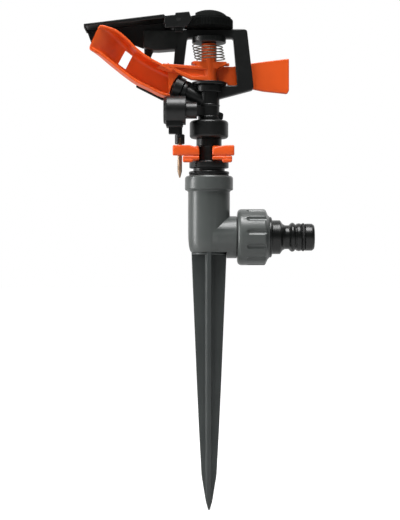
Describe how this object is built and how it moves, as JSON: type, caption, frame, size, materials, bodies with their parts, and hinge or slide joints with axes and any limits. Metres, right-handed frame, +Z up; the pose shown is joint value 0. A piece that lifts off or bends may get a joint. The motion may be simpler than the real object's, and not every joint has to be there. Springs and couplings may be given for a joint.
{
  "type": "impulse sprinkler",
  "caption": "Impulse lawn sprinkler on a ground spike: side hose inlet, turning head with sprung impact arm, range flap and trip clips for a part circle.",
  "frame": {"origin": "on the spike's axis at the soil line, just under the tee, 151 mm above the point", "axes": "+Z up along the spike, +X along the hose inlet, the jet leaves towards -X, the spoon opens towards -Y"},
  "size_m": [0.138, 0.0354, 0.2998],
  "materials": {
    "spike_plastic": "dark grey moulded plastic, satin",
    "grey_plastic": "mid grey moulded plastic, satin with soft highlights",
    "black_plastic": "black moulded plastic, semi-gloss",
    "gloss_black_plastic": "black moulded plastic, glossy",
    "orange_plastic": "orange moulded plastic, semi-gloss",
    "natural_plastic": "uncoloured plastic",
    "rubber": "black rubber",
    "spring_steel": "bright wire",
    "brass": "dull brass"
  },
  "bodies": {
    "base": {"spike": "spike_plastic", "tee_body": "grey_plastic", "base_gasket": "rubber", "bearing_sleeve": "black_plastic", "bearing_hood": "black_plastic"},
    "inlet": {"inlet_nut": "grey_plastic", "inlet_washer": "rubber", "inlet_nipple": "gloss_black_plastic", "nipple_o_ring": "rubber"},
    "upper_clip": {"upper_trip_clip": "orange_plastic"},
    "lower_clip": {"lower_trip_clip": "orange_plastic"},
    "head": {"pivot_tube": "brass", "pivot_seal": "rubber", "bearing_spring": "spring_steel", "head_body": "black_plastic", "nozzle_tip": "black_plastic", "nozzle_ring": "black_plastic", "jet_straightener": "natural_plastic", "splash_guard": "black_plastic", "thrust_disc": "black_plastic", "arm_pivot_pin": "spring_steel", "deflector_pin": "spring_steel", "trip_shaft": "spring_steel"},
    "arm": {"impact_arm": "orange_plastic", "arm_spring": "spring_steel"},
    "knob": {"spring_knob": "black_plastic"},
    "deflector": {"range_deflector": "black_plastic"},
    "trip": {"trip_lever": "black_plastic", "trip_pin": "brass", "trip_spring": "spring_steel"}
  },
  "joints": [
    {"name": "inlet_swivel", "type": "hinge", "parent": "base", "child": "inlet", "pos_m": [0.02, 0, 0.0127], "axis": [1, 0, 0], "continuous": true},
    {"name": "head_turn", "type": "hinge", "parent": "base", "child": "head", "pos_m": [0, 0, 0.0825], "axis": [0, 0, 1], "range_deg": [-240, 0]},
    {"name": "upper_clip_turn", "type": "hinge", "parent": "base", "child": "upper_clip", "pos_m": [0, 0, 0.0639], "axis": [0, 0, 1], "range_deg": [0, 205]},
    {"name": "lower_clip_turn", "type": "hinge", "parent": "base", "child": "lower_clip", "pos_m": [0, 0, 0.0594], "axis": [0, 0, 1], "range_deg": [0, 205]},
    {"name": "arm_swing", "type": "hinge", "parent": "head", "child": "arm", "pos_m": [0, 0, 0.1058], "axis": [0, 0, 1], "range_deg": [0, 100], "stiffness_Nm_per_rad": 0.004, "springref_deg": -28.65},
    {"name": "knob_turn", "type": "hinge", "parent": "head", "child": "knob", "pos_m": [0, 0, 0.14], "axis": [0, 0, 1], "range_deg": [-150, 150]},
    {"name": "deflector_tilt", "type": "hinge", "parent": "head", "child": "deflector", "pos_m": [-0.018, 0, 0.1408], "axis": [0, 1, 0], "range_deg": [0, 35]},
    {"name": "trip_flip", "type": "hinge", "parent": "head", "child": "trip", "pos_m": [0, -0.01, 0.0876], "axis": [1, 0, 0], "range_deg": [0, 20], "stiffness_Nm_per_rad": 0.004, "springref_deg": -17.19}
  ]
}
